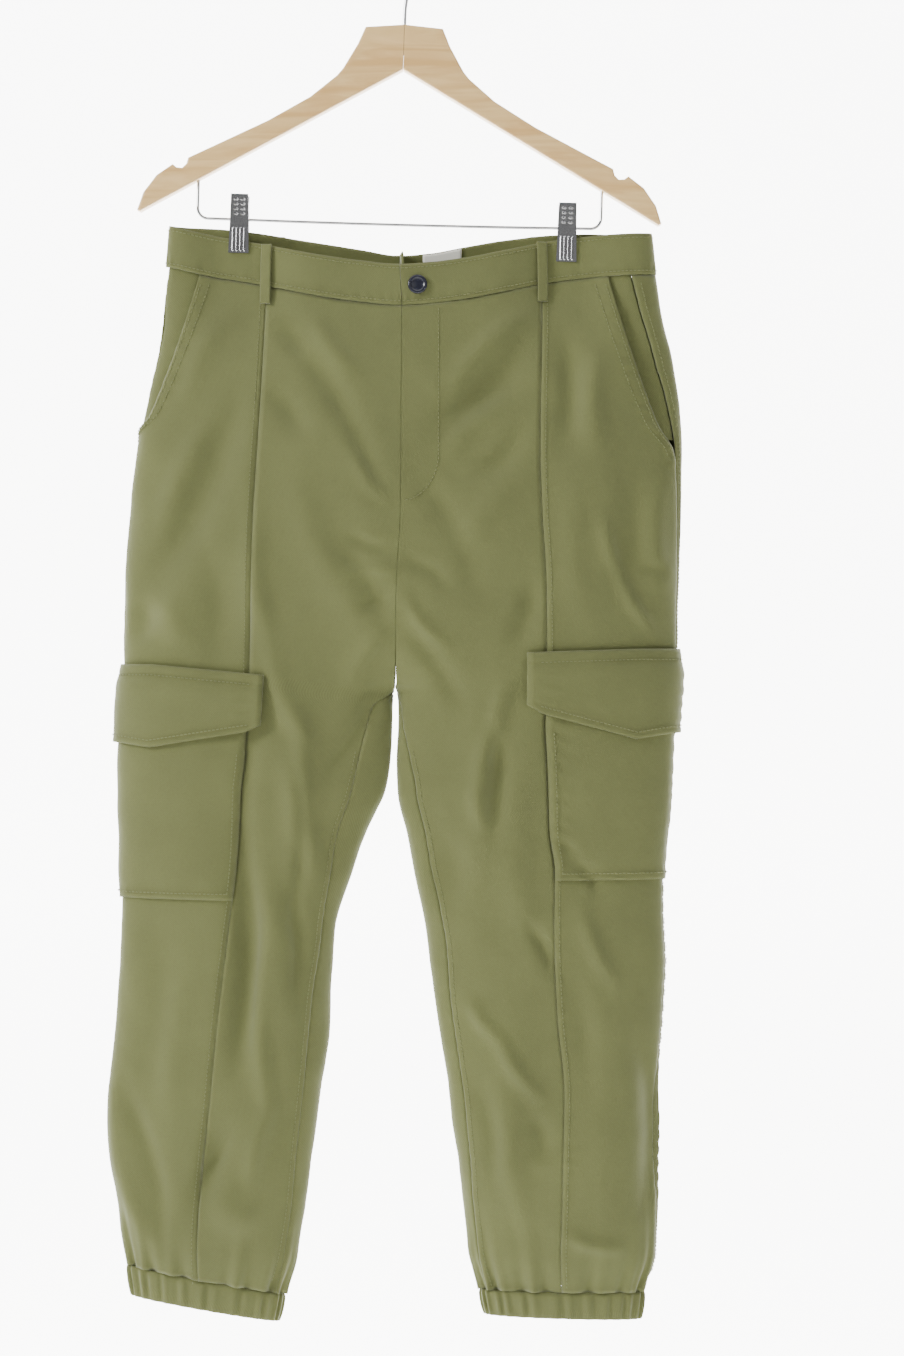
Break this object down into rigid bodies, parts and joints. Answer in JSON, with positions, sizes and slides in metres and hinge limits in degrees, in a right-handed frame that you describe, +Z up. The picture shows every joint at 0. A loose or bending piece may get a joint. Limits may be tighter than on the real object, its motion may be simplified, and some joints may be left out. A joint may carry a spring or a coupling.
{
  "type": "cargo trousers on a clip hanger",
  "caption": "Olive cotton twill cargo trousers with elastic cuffs and side flap pockets, hung flat by clips from a wooden hanger.",
  "frame": {"origin": "the point inside the top of the hanger's hook that rests on a rail", "axes": "+Z up, the front of the trousers faces -Y, +X to the wearer's left"},
  "size_m": [0.4835, 0.0674, 1.1853],
  "materials": {
    "twill": "matte olive cotton twill",
    "button": "dark navy, semi-gloss",
    "label_tape": "plain off-white woven tape",
    "pine": "pale pine, clear satin varnish",
    "chrome": "bright nickel plate"
  },
  "bodies": {
    "root": {"front_right": "twill", "side_right": "twill", "back_right": "twill", "pocket_bearer_right": "twill", "cargo_pocket_right": "twill", "cargo_flap_right": "twill", "cuff_right": "twill", "waistband_right": "twill", "belt_loop_front_right": "twill", "belt_loop_back_right": "twill", "front_left": "twill", "side_left": "twill", "back_left": "twill", "pocket_bearer_left": "twill", "cargo_pocket_left": "twill", "cargo_flap_left": "twill", "cuff_left": "twill", "waistband_left": "twill", "belt_loop_front_left": "twill", "belt_loop_back_left": "twill", "belt_loop_centre_back": "twill", "fly_facing": "twill", "waist_button": "button", "label": "label_tape", "hanger_arm_right": "pine", "hanger_arm_left": "pine", "hook": "chrome", "bar": "chrome", "clip_front_right": "chrome", "clip_back_right": "chrome", "clip_spring_right": "chrome", "clip_front_left": "chrome", "clip_back_left": "chrome", "clip_spring_left": "chrome"}
  },
  "joints": []
}
